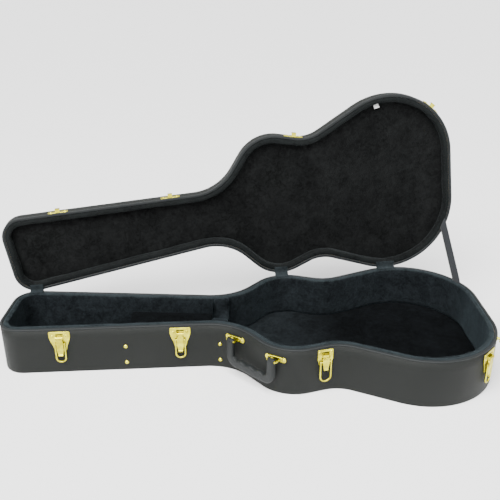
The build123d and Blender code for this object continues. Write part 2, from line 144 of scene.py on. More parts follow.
def tangents():
    """Where the straights between neighbouring rounds touch them: the line lies at
    lean = (s1 r1 - s2 r2) / distance from square to the line of centres."""
    centres = np.c_[ROUNDS[:, 0], ROUNDS[:, 1] - ROUNDS[:, 3] * ROUNDS[:, 2]]
    signed = ROUNDS[:, 2] * ROUNDS[:, 3]
    run = np.diff(centres, axis=0)
    far = np.hypot(run[:, 0], run[:, 1])[:, None]
    along = run / far
    lean = -np.diff(signed)[:, None] / far
    normal = along * lean + np.c_[-along[:, 1], along[:, 0]] * np.sqrt(1 - lean**2)
    return centres, normal


def half_plan(step=5.0):
    """The +Y half of the plan, neck end to tail: points and outward normals of the
    five arcs, with the straights filled in at the same step."""
    centres, touch = tangents()
    first, last = np.array([[-1.0, 0.0]]), np.array([[1.0, 0.0]])
    start = np.arctan2(*np.vstack([first, touch])[:, ::-1].T)
    end = np.arctan2(*np.vstack([touch, last])[:, ::-1].T)
    points, normals = [], []
    for centre, (_, _, radius, side), a, b in zip(centres, ROUNDS, start, end):
        if points:
            head = centre + radius * side * np.array([math.cos(a), math.sin(a)])
            gap = np.linalg.norm(head - points[-1][-1])
            count = max(2, int(gap / step / 2))
            t = np.linspace(0, 1, count + 1)[1:-1, None]
            points.append(points[-1][-1] * (1 - t) + head * t)
            normals.append(np.repeat(normals[-1][-1:], len(t), axis=0))
        turn = np.linspace(a, b, max(8, int(abs(b - a) * radius / step)))
        out = np.c_[np.cos(turn), np.sin(turn)]
        points.append(centre + radius * side * out)
        normals.append(out)
    return np.vstack(points), np.vstack(normals)


HALF_POINTS, HALF_NORMALS = half_plan()
ACROSS = 30


def plan_loop():
    """The whole outline as a closed loop: the +Y half, the flat tail, the -Y half
    back again and the flat neck end. Returns points, outward normals, run length."""
    upper, up_out = HALF_POINTS, HALF_NORMALS
    lower, low_out = upper[::-1] * (1, -1), up_out[::-1] * (1, -1)
    t = np.linspace(0, 1, ACROSS + 1)[1:-1, None]
    tail = upper[-1] * (1 - t) + lower[0] * t
    nose = lower[-1] * (1 - t) + upper[0] * t
    points = np.vstack([upper, tail, lower, nose])
    tail_out, nose_out = (np.tile((way, 0.0), (len(t), 1)) for way in (1.0, -1.0))
    normals = np.vstack([up_out, tail_out, low_out, nose_out])
    step = np.linalg.norm(np.diff(points, axis=0, append=points[:1]), axis=1)
    return points, normals, np.r_[0, np.cumsum(step)[:-1]]


LOOP, LOOP_OUT, LOOP_RUN = plan_loop()
ROWS, COLUMNS = len(HALF_POINTS), ACROSS + 1
# the loop's points, in order, as places in a ROWS x COLUMNS panel
RIM_OF_PANEL = np.r_[
    np.arange(ROWS) * COLUMNS,
    (ROWS - 1) * COLUMNS + np.arange(1, ACROSS),
    (np.arange(ROWS) * COLUMNS + ACROSS)[::-1],
    np.arange(ACROSS - 1, 0, -1),
]


def inset_loop(inset, height):
    """The outline moved inwards by inset, at a height. Both may vary round it."""
    flat = LOOP - LOOP_OUT * np.broadcast_to(inset, len(LOOP))[:, None]
    return np.c_[flat, np.broadcast_to(height, len(LOOP))]


def panel(inset, height):
    """A ROWS x COLUMNS grid across the plan: straight lines from the +Y edge to the
    -Y edge, both moved inwards by inset."""
    upper = HALF_POINTS - HALF_NORMALS * inset
    t = np.linspace(0, 1, COLUMNS)[None, :, None]
    flat = upper[:, None] * (1 - t) + (upper * (1, -1))[:, None] * t
    grid = np.concatenate([flat, np.full((ROWS, COLUMNS, 1), float(height))], axis=2)
    return grid.reshape(-1, 3)


def quads(rows, columns, closed=False):
    """Faces of a rows x columns grid of points. closed joins the last column to the
    first."""
    i = np.arange(rows - 1)[:, None]
    j = np.arange(columns if closed else columns - 1)[None, :]
    k = (j + 1) % columns
    a, b, c, d = i * columns + j, i * columns + k, (i + 1) * columns + k, (i + 1) * columns + j
    return np.stack([x.ravel() for x in np.broadcast_arrays(a, b, c, d)], axis=1)


def surface(name, points, faces, smooth=True, closed=True, uv=None):
    """Makes a mesh object from points in millimetres. closed meshes get their
    normals turned outwards."""
    mesh = bpy.data.meshes.new(name)
    mesh.from_pydata((np.asarray(points) * MM).tolist(), [], [tuple(f) for f in faces])
    if uv is not None:
        layer = mesh.uv_layers.new(name="UVMap")
        corner = np.empty(len(mesh.loops), dtype=np.int32)
        mesh.loops.foreach_get("vertex_index", corner)
        layer.data.foreach_set("uv", np.asarray(uv)[corner].ravel())
    if closed:
        work = bmesh.new()
        work.from_mesh(mesh)
        bmesh.ops.recalc_face_normals(work, faces=work.faces)
        work.to_mesh(mesh)
        work.free()
    mesh.polygons.foreach_set("use_smooth", [smooth] * len(mesh.polygons))
    made = bpy.data.objects.new(name, mesh)
    bpy.context.collection.objects.link(made)
    return made


def settle(piece, body, finish, slot, *nodes):
    """Gives a new piece its material and its body, and hides the CAD nodes it stands
    for. slot is not used."""
    piece.data.materials.append(finish)
    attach(piece, body)
    if nodes:
        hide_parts(*nodes)
    return piece


HINGE = next(j for j in frame["joints"] if j["name"] == "lid_hinge")
HINGE_AXIS = np.array(HINGE["axis"]) / np.linalg.norm(HINGE["axis"])
HINGE_POINT = np.array(HINGE["pos_m"]) / MM
OPEN = math.radians(HINGE["range_deg"][1])


def opened(points):
    """Turns closed-lid points about the hinge line to where the lid stands open."""
    arm = np.asarray(points) - HINGE_POINT
    turned = arm * math.cos(OPEN) - np.cross(HINGE_AXIS, arm) * math.sin(OPEN)
    return HINGE_POINT + turned + HINGE_AXIS * (arm @ HINGE_AXIS)[:, None] * (1 - math.cos(OPEN))


def shell_points(profile):
    """Rings of the outline at each (inset, drop from the seam) of the profile, then
    the panel across the last one. Returns points and faces, facing outwards."""
    rings = np.vstack([inset_loop(inset, -drop) for inset, drop in profile])
    floor = panel(profile[-1][0], -profile[-1][1])
    count = len(LOOP)
    faces = quads(len(profile), count, closed=True)
    start = len(rings)
    across = quads(ROWS, COLUMNS)[:, [0, 3, 2, 1]] + start
    # the last ring and the panel's rim are the same points, so use the rim's
    swap = np.arange(start + len(floor))
    swap[start - count:start] = RIM_OF_PANEL + start
    return np.vstack([rings, floor]), swap[np.vstack([faces, across])]


def round_corner(inset, drop, radius, steps=5):
    """A quarter round from the wall to the panel, at a corner with a given radius."""
    turn = np.linspace(0, math.pi / 2, steps)
    return [(inset + radius * (1 - math.cos(a)), drop - radius + radius * math.sin(a)) for a in turn]


def covering(name, depth, lid):
    """The skin of one shell: down its wall, round the corner and across."""
    wall = [(0.0, drop) for drop in np.linspace(TURNOVER, depth - CORNER_CLEAR, 5)]
    points, faces = shell_points(wall + round_corner(0.0, depth, CORNER_ROUND))
    if lid:
        points = points * (1, 1, -1)
        faces = faces[:, ::-1]
    points = points + (0, 0, SEAM)
    if lid:
        points = opened(points)
    piece = surface(name, points, faces, closed=False)
    thick = piece.modifiers.new("skin", "SOLIDIFY")
    thick.thickness = SKIN * MM
    thick.offset = -1
    return piece


def group(name, inputs, outputs):
    """Starts a shader node group. inputs and outputs map a name to a socket type."""
    tree = bpy.data.node_groups.new(name, "ShaderNodeTree")
    for word, kind in inputs.items():
        tree.interface.new_socket(word, in_out="INPUT", socket_type=kind)
    for word, kind in outputs.items():
        tree.interface.new_socket(word, in_out="OUTPUT", socket_type=kind)
    return tree, tree.nodes.new("NodeGroupInput"), tree.nodes.new("NodeGroupOutput")


def use_group(tree, name, **values):
    """Adds a named group to a material, with values on its unlinked inputs."""
    made = tree.nodes.new("ShaderNodeGroup")
    made.node_tree = bpy.data.node_groups[name]
    for word, value in values.items():
        made.inputs[word].default_value = value
    return made


def spread(tree, value, low, high, target):
    """Maps 0..1 onto low..high and feeds it to the target socket."""
    scale = node(tree, "ShaderNodeMapRange", **{"To Min": low, "To Max": high})
    tree.links.new(value, scale.inputs["Value"])
    tree.links.new(scale.outputs["Result"], target)


def scaled(tree, value, by, plus=0.0):
    """The output value * by + plus, where plus is a number or another output."""
    made = node(tree, "ShaderNodeMath", operation="MULTIPLY_ADD")
    tree.links.new(value, made.inputs[0])
    made.inputs[1].default_value = by
    if isinstance(plus, float):
        made.inputs[2].default_value = plus
    else:
        tree.links.new(plus, made.inputs[2])
    return made.outputs["Value"]


tree, given, result = group(
    "leathercloth grain",
    {"Vector": "NodeSocketVector", "Pebble": "NodeSocketFloat"},
    {"Height": "NodeSocketFloat", "Tone": "NodeSocketFloat"},
)
creases = node(tree, "ShaderNodeTexVoronoi", feature="DISTANCE_TO_EDGE", Randomness=0.9)
pits = node(tree, "ShaderNodeTexNoise", Scale=2600.0, Detail=2.0)
cloud = node(tree, "ShaderNodeTexNoise", Scale=9.0, Detail=3.0)
pebbled = node(tree, "ShaderNodeMapRange", **{"From Max": 0.12})
for texture in (creases, pits, cloud):
    tree.links.new(given.outputs["Vector"], texture.inputs["Vector"])
tree.links.new(given.outputs["Pebble"], creases.inputs["Scale"])
tree.links.new(creases.outputs["Distance"], pebbled.inputs["Value"])
grain_height = scaled(tree, pits.outputs["Fac"], 0.25, pebbled.outputs["Result"])
# Tone: painted shade in the creases between the pebbles, plus a random mottle.
crease_shade_and_mottle = scaled(tree, pebbled.outputs["Result"], 0.35, scaled(tree, cloud.outputs["Fac"], 0.65))
tree.links.new(grain_height, result.inputs["Height"])
tree.links.new(crease_shade_and_mottle, result.inputs["Tone"])


def leathercloth(name, low, high, pebble, rough, depth):
    """Grained vinyl, from low in its creases to high on its pebbles: the darker creases are
    painted shade, over a random mottle. pebble is how fine the grain is, and the creases
    are a little rougher than rough."""
    made, tree, shader = material(name, Specular_IOR_Level=0.14)
    place = node(tree, "ShaderNodeTexCoord")
    grain = use_group(tree, "leathercloth grain", Pebble=pebble)
    tree.links.new(place.outputs["Object"], grain.inputs["Vector"])
    tint(tree, shader, grain.outputs["Tone"], low, high)
    spread(tree, grain.outputs["Tone"], rough + 0.08, rough - 0.06, shader.inputs["Roughness"])
    relief(tree, shader, grain.outputs["Height"], depth)
    return made


vinyl = leathercloth(
    "black leathercloth", (0.0056, 0.0064, 0.0058), (0.0102, 0.0115, 0.0104), pebble=620.0, rough=0.50,
    depth=0.00022,
)
base_covering = covering("base_covering", SEAM, lid=False)
settle(base_covering, "base", vinyl, "vinyl", "base_side_covering", "base_bottom_covering")
lid_covering = covering("lid_covering", LID_HEIGHT, lid=True)
settle(lid_covering, "lid", vinyl, "vinyl", "lid_side_covering", "lid_top_covering")

# ---- Rim binding -----------------------------------------------------------
# A moulded bead runs round the mouth of each shell and hides the edges of the
# ply and the turned-over vinyl. It is smooth, so it catches a thin line of light, and
# its colour is lighter than the vinyl's: a painted highlight along that line.

BEAD_CENTRE = (2.7, 2.1)
BEAD_HALF = (3.3, 1.75)
BEAD_POWER = 0.75


def fuller(wave, power):
    """A sine or cosine raised to a power with its sign kept. A power below 1 makes an
    oval that is drawn with it squarer."""
    return np.sign(wave) * np.abs(wave) ** power


def hoop(profile):
    """Carries a closed profile of (inset, height over the seam) round the outline."""
    rings = np.vstack([inset_loop(inset, height + SEAM) for inset, height in profile])
    count, rows = len(LOOP), len(profile)
    grid = np.r_[np.arange(rows), 0]
    faces = quads(rows + 1, count, closed=True)
    return rings, (grid[faces // count] * count + faces % count)


def bead(name, sign):
    """The binding of one shell: an oval section a little fuller than an ellipse."""
    turn = np.linspace(0, 2 * math.pi, 16, endpoint=False)
    inset = BEAD_CENTRE[0] - BEAD_HALF[0] * fuller(np.cos(turn), BEAD_POWER)
    height = sign * (BEAD_CENTRE[1] + BEAD_HALF[1] * fuller(np.sin(turn), BEAD_POWER))
    points, faces = hoop(list(zip(inset, height)))
    return surface(name, opened(points) if sign > 0 else points, faces)


# Lighter than the vinyl: a painted highlight along the rims.
binding = leathercloth(
    "binding with painted highlight", (0.0105, 0.0120, 0.0122), (0.0165, 0.0185, 0.0190), pebble=900.0, rough=0.46,
    depth=0.00004,
)
settle(bead("base_rim_bead", -1), "base", binding, "binding", "base_edge_bead")
settle(bead("lid_rim_bead", 1), "lid", binding, "binding", "lid_edge_bead")

# ---- Plush linings ---------------------------------------------------------
# Foam strips and sheets covered in short-pile plush. The strips line the walls
# and roll over at the rim, and a sheet covers the bottom and the lid's board.

LINING_TOP = 0.9
LINING_BACK = 6.2
LINING_FACE = 17.3
LINING_ROLL = 2.9           # radius of the rolled edge towards the inside
ROLL_CENTRE = 14.4          # how far in from the outline its centre lies
BROAD_WAVE = (70.0, 0.55)   # wavelength and height of the walls' broad unevenness
SMALL_WAVE = (22.0, 0.18)
BASE_FLOOR = 13.0
LID_CEILING = 17.0
FLOOR_LIT_FROM = 230.0       # painted light on the floor grows towards the neck from here
FLOOR_LIT_RAMP = 200.0        # and reaches its full share after this length


def ripple(u, v, length, seed, count=9):
    """Soft unevenness, mostly between -1 and 1: count sine waves of random directions
    and phases and of wavelengths near length, added up and divided by count's root."""
    draw = np.random.default_rng(seed)
    turn = draw.uniform(0, 2 * math.pi, count)
    phase = draw.uniform(0, 2 * math.pi, count)
    wave = 2 * math.pi / (length * draw.uniform(0.6, 1.6, count))
    places = np.multiply.outer(u, np.cos(turn)) + np.multiply.outer(v, np.sin(turn))
    return np.sin(places * wave + phase).sum(axis=-1) / math.sqrt(count)


def wall_profile(drop):
    """Section of a wall strip from its back, over the rolled top and down the face:
    (inset, drop from the seam). drop is how deep the strip runs."""
    back = [(LINING_BACK, d) for d in (drop, drop * 0.5, 6.0)]
    outer = [(LINING_BACK + k, LINING_TOP + d) for k, d in ((0, 1.2), (0.5, 0.4), (1.6, 0))]
    top = [(inset, LINING_TOP - 0.2) for inset in (9.0, 11.5, 13.4)]
    turn = np.linspace(math.pi / 2, 0, 6)
    inner = [
        (ROLL_CENTRE + LINING_ROLL * math.cos(a), LINING_TOP + LINING_ROLL - LINING_ROLL * math.sin(a))
        for a in turn
    ]
    face_top = LINING_TOP + 3
    face = [
        (LINING_FACE + 0.7 * math.sin(math.pi * k), face_top + (drop - face_top) * k)
        for k in np.linspace(0.12, 0.92, 9)
    ]
    return back + outer + top + inner + face + [(LINING_FACE - 0.5, drop)]


def wall_strip(name, drop, sign, seed):
    """The wall profile carried round the outline, its face pushed in and out by up to
    about a millimetre of soft unevenness."""
    profile = wall_profile(drop)
    rings = []
    for inset, down in profile:
        free = np.clip((inset - LINING_BACK) / 6, 0, 1)
        broad = ripple(LOOP[:, 0] + down, LOOP[:, 1], BROAD_WAVE[0], seed) * BROAD_WAVE[1]
        small = ripple(LOOP_RUN, 0 * LOOP_RUN + down, SMALL_WAVE[0], seed + 1) * SMALL_WAVE[1]
        rings.append((inset + free * (broad + small), sign * down))
    points, faces = hoop(rings)
    piece = surface(name, opened(points) if sign > 0 else points, faces)
    inset, down = np.array(profile).T
    # Painted sheen on the rolled top: full on the flat of the rim, fading out a few millimetres down the
    # face.
    top = np.clip(1.15 - (down - LINING_TOP) / 3.0, 0, 1) * (inset > LINING_BACK)
    paint_sheen_share(piece, np.repeat(top, len(LOOP)))
    return piece


def sheet_pad(name, inset, height, thickness, sign, wrinkle, seed):
    """A padded board: a panel grid raised by a low dome that fades at the edges, plus
    wrinkles, with a flat panel behind it and a wall between."""
    top = panel(inset, height)
    x, y = top[:, 0], top[:, 1]
    edge = np.abs(np.linspace(-1, 1, COLUMNS))[None, :].repeat(ROWS, axis=0).ravel()
    row = np.arange(ROWS)
    ends = np.clip(np.minimum(row, row[::-1]) / 6, 0, 1)
    fade = (1 - edge**6) * np.repeat(ends, COLUMNS)
    top[:, 2] += -sign * fade * wrinkle(x, y, seed)
    back = panel(inset, height + sign * thickness)
    count = ROWS * COLUMNS
    across = quads(ROWS, COLUMNS)
    rim = RIM_OF_PANEL
    side = np.stack([rim, np.roll(rim, -1), np.roll(rim, -1) + count, rim + count], axis=1)
    points = np.vstack([top, back])
    if sign > 0:
        points = opened(points)
    return surface(name, points, np.vstack([across, across + count, side]))


def floor_wave(x, y, seed):
    """Cloth glued down: a broad, low unevenness with a little of a finer one."""
    return 0.35 + 0.5 * ripple(x, y, 120.0, seed) + 0.15 * ripple(x, y, 34.0, seed + 1)


def lid_wave(x, y, seed):
    """Slack cloth: long folds slanting across the board, each a narrow ridge, over a
    broad unevenness."""
    slant = x * 0.82 - y * 0.57 + 14 * ripple(x, y, 160.0, seed)
    across = x * 0.57 + y * 0.82
    fold = np.abs(np.sin(slant / 46 + ripple(x, y, 120.0, seed + 2))) ** 6
    patch = np.clip(ripple(across, slant, 110.0, seed + 3), 0, 1)
    return 0.7 + 1.1 * ripple(x, y, 90.0, seed + 4) + 3.2 * fold * patch


tree, given, result = group(
    "plush pile",
    {"Vector": "NodeSocketVector", "Patch": "NodeSocketFloat"},
    {"Height": "NodeSocketFloat", "Tone": "NodeSocketFloat"},
)
patches = node(tree, "ShaderNodeTexNoise", Detail=4.0, Roughness=0.6, Distortion=0.8)
crushed = node(tree, "ShaderNodeTexNoise", Scale=105.0, Detail=3.0, Roughness=0.65, Distortion=1.2)
tufts = node(tree, "ShaderNodeTexNoise", Scale=420.0, Detail=3.0, Roughness=0.7)
fibres = node(tree, "ShaderNodeTexNoise", Scale=1700.0, Detail=2.0, Roughness=0.8)
lay = node(tree, "ShaderNodeMapRange", **{"From Min": 0.38, "From Max": 0.64})
flecks = node(tree, "ShaderNodeMapRange", **{"From Min": 0.36, "From Max": 0.66, "To Max": 0.6})
for texture in (patches, crushed, tufts, fibres):
    tree.links.new(given.outputs["Vector"], texture.inputs["Vector"])
tree.links.new(given.outputs["Patch"], patches.inputs["Scale"])
tree.links.new(patches.outputs["Fac"], lay.inputs["Value"])
tree.links.new(crushed.outputs["Fac"], flecks.inputs["Value"])
speckled = scaled(tree, tufts.outputs["Fac"], 0.5, flecks.outputs["Result"])
pile_tone = scaled(tree, scaled(tree, lay.outputs["Result"], 0.40, speckled), 1.0, -0.22)
pile_height = scaled(tree, fibres.outputs["Fac"], 0.45, tufts.outputs["Fac"])
tree.links.new(pile_height, result.inputs["Height"])
tree.links.new(pile_tone, result.inputs["Tone"])


def product(tree, first, second):
    """The output first * second."""
    made = node(tree, "ShaderNodeMath", operation="MULTIPLY")
    tree.links.new(first, made.inputs[0])
    tree.links.new(second, made.inputs[1])
    return made.outputs["Value"]


def plush(name, low, high, patch, sheen, sheen_tint, painted_sheen):
    """The last argument is a painted sheen colour: the lighter look of the plush where
    light grazes it, mixed in as far as a mesh's per-vertex attribute asks."""
    made, tree, shader = material(
        name, Roughness=0.95, Specular_IOR_Level=0.03, Sheen_Weight=sheen, Sheen_Roughness=0.42,
        Sheen_Tint=(*sheen_tint, 1),
    )
    place = node(tree, "ShaderNodeTexCoord")
    pile = use_group(tree, "plush pile", Patch=patch)
    tree.links.new(place.outputs["Object"], pile.inputs["Vector"])
    lying = tint(tree, shader, pile.outputs["Tone"], low, high)
    # Painted sheen: the colour is lightened as far as the mesh attribute asks, broken up by the pile's
    # tone.
    painted = node(tree, "ShaderNodeAttribute", attribute_name="painted_sheen")
    sheen_blend = node(tree, "ShaderNodeMix", data_type="RGBA")
    sheen_blend.inputs["B"].default_value = (*painted_sheen, 1)
    broken = scaled(tree, pile.outputs["Tone"], 0.9, 0.35)
    tree.links.new(product(tree, broken, painted.outputs["Fac"]), sheen_blend.inputs["Factor"])
    tree.links.new(lying.outputs["Result"], sheen_blend.inputs["A"])
    tree.links.new(sheen_blend.outputs["Result"], shader.inputs["Base Color"])
    relief(tree, shader, pile.outputs["Height"], 0.0013)
    return made


def paint_sheen_share(piece, share):
    """Stores each vertex's share of the painted sheen colour, 0 to 1."""
    layer = piece.data.attributes.new("painted_sheen", "FLOAT", "POINT")
    layer.data.foreach_set("value", np.broadcast_to(share, len(piece.data.vertices)).astype(float))


# Each last colour is a painted sheen, lighter than the plush, for where light grazes the pile.
wall_plush = plush(
    "wall plush", (0.0022, 0.0027, 0.0031), (0.0122, 0.0152, 0.0172), patch=26.0, sheen=0.075,
    sheen_tint=(0.50, 0.66, 0.74), painted_sheen=(0.0190, 0.0240, 0.0260),
)
# A darker copy of the wall plush: painted shade for the deep floor, the partition and the compartment lid.
shaded_plush = plush(
    "plush with painted shade", (0.0001, 0.0001, 0.0001), (0.0027, 0.0033, 0.0038), patch=20.0, sheen=0.012,
    sheen_tint=(0.5, 0.6, 0.66), painted_sheen=(0.0125, 0.0155, 0.0172),
)
lid_plush = plush(
    "lid plush", (0.0020, 0.0021, 0.0021), (0.0090, 0.0097, 0.0096), patch=15.0, sheen=0.048,
    sheen_tint=(0.66, 0.76, 0.78), painted_sheen=(0.0098, 0.0112, 0.0112),
)

base_strip = wall_strip("base_wall_plush", SEAM - BASE_FLOOR, -1, 11)
settle(base_strip, "base", wall_plush, "plush", "base_wall_lining")
lid_strip = wall_strip("lid_wall_plush", LID_CEILING, 1, 12)
settle(lid_strip, "lid", lid_plush, "plush", "lid_wall_lining")
base_sheet = sheet_pad("base_floor_plush", LINING_BACK, BASE_FLOOR, 7.6, -1, floor_wave, 21)
settle(base_sheet, "base", shaded_plush, "plush", "base_floor_lining")
# Painted light across the floor: lighter towards the neck, darker towards the tail where shade falls.
floor_places = np.empty(len(base_sheet.data.vertices) * 3)
base_sheet.data.vertices.foreach_get("co", floor_places)
paint_sheen_share(base_sheet, 0.7 * np.clip((FLOOR_LIT_FROM - floor_places[::3] / MM) / FLOOR_LIT_RAMP, 0, 1))
lid_sheet = sheet_pad("lid_panel_plush", LINING_BACK, SEAM + LID_CEILING, 4.8, 1, lid_wave, 31)
settle(lid_sheet, "lid", lid_plush, "plush", "lid_panel_lining")

# ---- Pile along the rims ---------------------------------------------------
# Loose fibres of the plush that stand up where the linings roll over the rim.
# Each is a thin three-sided spike.

PILE_ROOTS = 2.8            # roots lie this far from the roll's centre, just inside it
PILE_TURN = (-0.35, 1.15)   # radians round the roll, from its top towards the inside
PILE_SCATTER = 3.5          # those on the flat of the rim are spread outwards as far
PILE_LEAN = 0.45
PILE_LENGTH = (1.2, 3.0)
PILE_WIDTH = (0.16, 0.34)


def fringe(name, sign, count, seed):
    """Spikes rooted at random places on the rolled top of a wall strip, leaning by a
    random amount: three root points round a centre, and one tip."""
    draw = np.random.default_rng(seed)
    run = draw.uniform(0, len(LOOP), count)
    k = run.astype(int)
    t = (run - k)[:, None]
    here = LOOP[k] * (1 - t) + LOOP[(k + 1) % len(LOOP)] * t
    out = LOOP_OUT[k]
    turn = draw.uniform(*PILE_TURN, count)[:, None]
    scatter = draw.uniform(-PILE_SCATTER, 0.0, count)[:, None] * (turn < 0.5)
    inset = ROLL_CENTRE + PILE_ROOTS * np.sin(turn) + scatter
    down = LINING_TOP + LINING_ROLL - PILE_ROOTS * np.cos(turn)
    root = np.hstack([here - out * inset, SEAM - down])
    grow = np.hstack([-out * np.sin(turn), np.cos(turn)])
    grow = grow + draw.normal(0, PILE_LEAN, (count, 3))
    grow /= np.linalg.norm(grow, axis=1)[:, None]
    tuft = np.clip(ripple(run, 0 * run, 3.0, seed + 1), -1, 1.2)
    length = (draw.uniform(*PILE_LENGTH, count) * (1 + 0.5 * tuft))[:, None]
    side = np.cross(grow, draw.normal(0, 1, (count, 3)))
    side /= np.linalg.norm(side, axis=1)[:, None]
    third = np.cross(grow, side)
    wide = draw.uniform(*PILE_WIDTH, count)[:, None]
    corners = [root + wide * (side * math.cos(a) + third * math.sin(a)) for a in (0, 2.1, 4.2)]
    points = np.stack(corners + [root + grow * length], axis=1).reshape(-1, 3)
    if sign > 0:
        points = opened((points - (0, 0, SEAM)) * (1, 1, -1) + (0, 0, SEAM))
    pattern = np.array([(0, 1, 3), (1, 2, 3), (2, 0, 3), (2, 1, 0)])
    faces = (np.arange(count)[:, None, None] * 4 + pattern).reshape(-1, 3)
    return surface(name, points, faces, smooth=False)


base_pile = settle(fringe("base_rim_pile", -1, 12000, 41), "base", wall_plush, "plush")
lid_pile = settle(fringe("lid_rim_pile", 1, 9000, 42), "lid", lid_plush, "plush")
# The fibres take the full painted sheen of the rims' tops.
for pile in (base_pile, lid_pile):
    paint_sheen_share(pile, 1.0)

# ---- Neck compartment ------------------------------------------------------
# Plush-covered blocks glued into the neck channel: a cross wall, a cradle that
# the guitar's neck rests in, and between them a lidded box for strings and picks.

NECK_FACE = 17.0


def half_width(x):
    """Half the plan's width at x, read off the outline."""
    return np.interp(x, HALF_POINTS[:, 0], HALF_POINTS[:, 1])


def shortened(steps, radius):
    """Each step cut down to radius, or to just under half of itself."""
    far = np.linalg.norm(steps, axis=1)
    return steps / far[:, None] * np.minimum(radius, far * 0.48)[:, None]


def soft_corners(corners, radius, steps=5):
    """A closed polygon with its corners rounded: each is replaced by a curve that
    blends from one side to the next, sampled as a quadratic Bezier."""
    corners = np.asarray(corners, float)
    back = np.roll(corners, 1, axis=0) - corners
    ahead = np.roll(corners, -1, axis=0) - corners
    a, b = corners + shortened(back, radius), corners + shortened(ahead, radius)
    t = np.linspace(0, 1, steps)[None, :, None]
    curve = a[:, None] * (1 - t) ** 2 + corners[:, None] * 2 * t * (1 - t) + b[:, None] * t**2
    return curve.reshape(-1, 2)


def outward(section):
    """Unit normals of a closed counter-clockwise section."""
    run = np.roll(section, -1, axis=0) - np.roll(section, 1, axis=0)
    normal = np.c_[run[:, 1], -run[:, 0]]
    return normal / np.linalg.norm(normal, axis=1)[:, None]


def loft(name, rows, uv=None):
    """Joins a stack of equal closed rows of points and caps both ends."""
    count = len(rows[0])
    faces = [tuple(f) for f in quads(len(rows), count, closed=True)]
    faces.append(tuple(range(count)))
    faces.append(tuple(range(len(rows) * count - 1, (len(rows) - 1) * count - 1, -1)))
    return surface(name, np.vstack(rows), faces, uv=uv)


def puffed(low, high, roll, steps=4):
    """Stations along a padded block and how far its section draws in at each: a
    quarter round at both ends."""
    turn = np.linspace(0, math.pi / 2, steps)
    start = [(low + roll * (1 - math.sin(a)), roll * (1 - math.cos(a))) for a in turn[::-1]]
    end = [(high - x + low, d) for x, d in start[::-1]]
    return start + end


def cross_block(name, low, high, section, roll, seed):
    """A block across the channel: a section in (share of the half width, height)
    carried along X, drawn in at both ends and a little uneven."""
    rows = []
    for x, draw_in in puffed(low, high, roll):
        half = half_width(x) - NECK_FACE
        flat = np.c_[section[:, 0] * half, section[:, 1]]
        flat = flat - outward(flat) * draw_in
        uneven = ripple(flat[:, 0] + x, flat[:, 1], 30.0, seed) * 0.4
        flat = flat + outward(flat) * uneven[:, None]
        rows.append(np.c_[np.full(len(flat), x), flat])
    return loft(name, rows)


PARTITION = (263.0 - CASE_HALF, 273.0 - CASE_HALF)
CRADLE = (450.5 - CASE_HALF, 485.5 - CASE_HALF)
CRADLE_TOP = 107.0
NECK_REST = 72.5            # height of the cradle's hollow
HOLLOW = (0.70, 0.78)       # its half width at the bottom and the top, as a share
POCKET_TOP = 62.0
POCKET_LID = 6.0
BLOCK_FOOT = BASE_FLOOR - 1
BOARD_TOP = POCKET_TOP - 0.6

board = soft_corners([(-1, BLOCK_FOOT), (1, BLOCK_FOOT), (1, BOARD_TOP), (-1, BOARD_TOP)], 3)
partition = cross_block("partition_plush", *PARTITION, board, 3.0, 51)
settle(partition, "base", shaded_plush, "plush", "compartment_partition")

saddle = soft_corners(
    [
        (-1, BLOCK_FOOT), (1, BLOCK_FOOT), (1, CRADLE_TOP), (HOLLOW[1], CRADLE_TOP),
        (HOLLOW[0], NECK_REST), (-HOLLOW[0], NECK_REST), (-HOLLOW[1], CRADLE_TOP), (-1, CRADLE_TOP),
    ],
    11, steps=7,
)
cradle = cross_block("neck_cradle_plush", *CRADLE, saddle, 5.0, 52)
settle(cradle, "base", wall_plush, "plush", "neck_cradle")
dress("compartment_ledge", wall_plush)

POCKET_WALL = 17.5          # the wall lining's face, in from the outline
POCKET_GAP = 1.5
POCKET_SWING_GAP = 2.5
flap_x = (PARTITION[0], CRADLE[0] - POCKET_SWING_GAP)
flap_y = half_width(np.array(flap_x)) - POCKET_WALL - POCKET_GAP
flap_corners = [
    (flap_x[0], -flap_y[0]), (flap_x[1], -flap_y[1]), (flap_x[1], flap_y[1]), (flap_x[0], flap_y[0])
]
flap_outline = soft_corners(flap_corners, 5)
flap_rows = []
for z, draw_in in puffed(POCKET_TOP + 0.2, POCKET_TOP + POCKET_LID, 2.2):
    flat = flap_outline - outward(flap_outline) * draw_in
    flap_rows.append(np.c_[flat, np.full(len(flat), z)])
flap = loft("compartment_lid_plush", flap_rows)
settle(flap, "compartment_lid", shaded_plush, "plush", "compartment_lid")

# ---- Pull tab of the compartment lid ---------------------------------------
# A loop of woven tape, stitched shut and sewn into the lid's front edge.

TAB_WIDTH = 19.0
TAB_THICKNESS = 0.9
TAB_LAYER = 1.0             # each layer lies this far from the middle of the loop
TAB_LEG = (-3.0, 8.0)       # from inside the lid up to where the loop turns
TAB_TURN = (9.0, 1.6)       # height of the turn's centre and its rise over it

tree, given, result = group(
    "tape weave", {"Vector": "NodeSocketVector"}, {"Height": "NodeSocketFloat", "Tone": "NodeSocketFloat"}
)
warp = node(tree, "ShaderNodeTexWave", wave_type="BANDS", bands_direction="X", Scale=190.0, Distortion=0.0)
weft = node(tree, "ShaderNodeTexWave", wave_type="BANDS", bands_direction="Y", Scale=150.0, Distortion=0.0)
soil = node(tree, "ShaderNodeTexNoise", Scale=60.0, Detail=3.0)
for texture in (warp, weft, soil):
    tree.links.new(given.outputs["Vector"], texture.inputs["Vector"])
crossing = product(tree, warp.outputs["Fac"], weft.outputs["Fac"])
tree.links.new(crossing, result.inputs["Height"])
tape_tone = scaled(tree, crossing, 0.5, scaled(tree, soil.outputs["Fac"], 0.5))
tree.links.new(tape_tone, result.inputs["Tone"])

